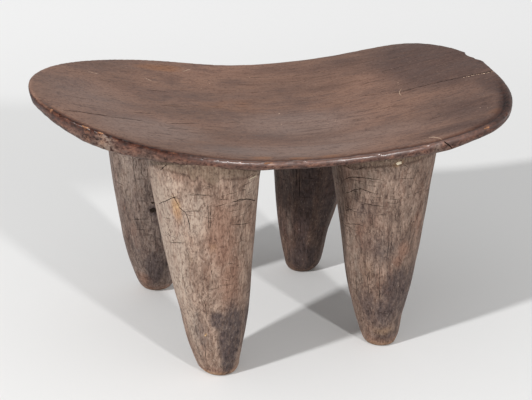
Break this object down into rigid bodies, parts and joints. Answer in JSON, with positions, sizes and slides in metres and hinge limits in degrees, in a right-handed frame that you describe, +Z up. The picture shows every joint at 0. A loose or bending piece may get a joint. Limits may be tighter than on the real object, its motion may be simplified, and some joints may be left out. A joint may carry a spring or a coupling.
{
  "type": "carved wooden stool",
  "caption": "Low one-block wooden stool or headrest with a thin dished saddle seat on stout tapered legs.",
  "frame": {"origin": "on the floor, under the middle of the whole object's box", "axes": "+X along the length of the seat towards its lower end, -Y the front, +Z up"},
  "size_m": [0.4992, 0.3012, 0.2775],
  "materials": {
    "seat_wood": "dark handling polish over fine lengthwise grain, with worn lighter rim",
    "leg_wood": "dry and weathered grey-brown, with tool marks and horizontal drying checks"
  },
  "bodies": {
    "root": {"seat": "seat_wood", "leg_front_left": "leg_wood", "leg_front_right": "leg_wood", "leg_rear_left": "leg_wood", "leg_rear_right": "leg_wood"}
  },
  "joints": []
}
